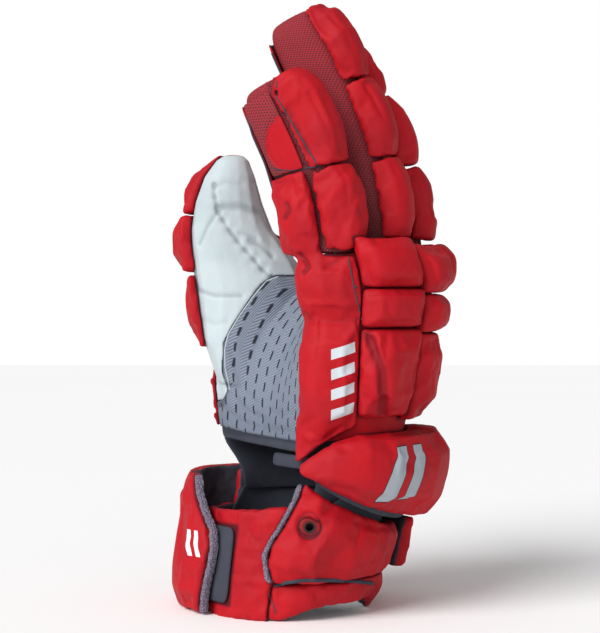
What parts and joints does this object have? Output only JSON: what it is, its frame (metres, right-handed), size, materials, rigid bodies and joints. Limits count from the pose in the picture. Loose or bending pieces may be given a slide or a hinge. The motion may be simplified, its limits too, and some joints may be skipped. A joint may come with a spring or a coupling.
{
  "type": "lacrosse glove",
  "caption": "Padded left-hand field glove with separate foam rolls on each finger, a mesh and leather palm, a wrist roll and a wrap-around cuff.",
  "frame": {"origin": "middle of the bounding box on the floor, under the open end of the cuff", "axes": "+Z towards the fingertips, +X towards the back of the hand, -Y towards the little finger"},
  "size_m": [0.1598, 0.1362, 0.3285],
  "materials": {
    "red_cloth": "smooth coated nylon over foam",
    "finger_mesh": "fine open mesh",
    "white_leather": "soft matt synthetic leather",
    "palm_mesh": "ribbed mesh with slots",
    "dark_cloth": "matt woven cloth",
    "terry": "looped terry binding",
    "eyelet_rim": "moulded rim"
  },
  "bodies": {
    "root": {"hand_back": "red_cloth", "palm_mesh": "palm_mesh", "thumb_leather": "white_leather", "palm_leather": "white_leather", "pinky_sleeve": "finger_mesh", "pinky_palm": "dark_cloth", "pinky_roll_1": "red_cloth", "pinky_roll_2": "red_cloth", "ring_sleeve": "finger_mesh", "ring_palm": "dark_cloth", "ring_roll_1": "red_cloth", "ring_roll_2": "red_cloth", "ring_roll_3": "red_cloth", "middle_sleeve": "finger_mesh", "middle_palm": "dark_cloth", "middle_roll_1": "red_cloth", "middle_roll_2": "red_cloth", "middle_roll_3": "red_cloth", "index_sleeve": "finger_mesh", "index_palm": "dark_cloth", "index_roll_1": "red_cloth", "index_roll_2": "red_cloth", "index_roll_3": "red_cloth", "pinky_patch": "red_cloth", "side_pad_upper": "red_cloth", "knuckle_pinky": "red_cloth", "knuckle_ring": "red_cloth", "knuckle_middle": "red_cloth", "knuckle_index": "red_cloth", "low_knuckle_pinky": "red_cloth", "low_knuckle_ring": "red_cloth", "low_knuckle_middle": "red_cloth", "low_knuckle_index": "red_cloth", "hand_pad_pinky": "red_cloth", "hand_pad_ring": "red_cloth", "hand_pad_middle": "red_cloth", "hand_pad_index": "red_cloth", "side_pad_middle": "red_cloth", "side_pad_lower": "red_cloth", "radial_pad": "red_cloth", "thumb_pad_1": "red_cloth", "thumb_pad_2": "red_cloth", "thumb_pad_3": "red_cloth", "thumb_base_pad": "red_cloth", "hem_tape": "dark_cloth", "wrist_webbing": "dark_cloth", "wrist_liner": "dark_cloth", "cuff_lining": "dark_cloth", "cuff_palm_panel": "red_cloth", "cuff_band": "red_cloth", "cuff_side_panel": "red_cloth", "vent_eyelet": "eyelet_rim", "side_panel_binding": "terry", "cuff_far_panel": "red_cloth", "closure_flap": "red_cloth", "flap_binding": "terry", "closure_strip": "dark_cloth", "wrist_guard": "red_cloth", "guard_lining": "dark_cloth"}
  },
  "joints": []
}
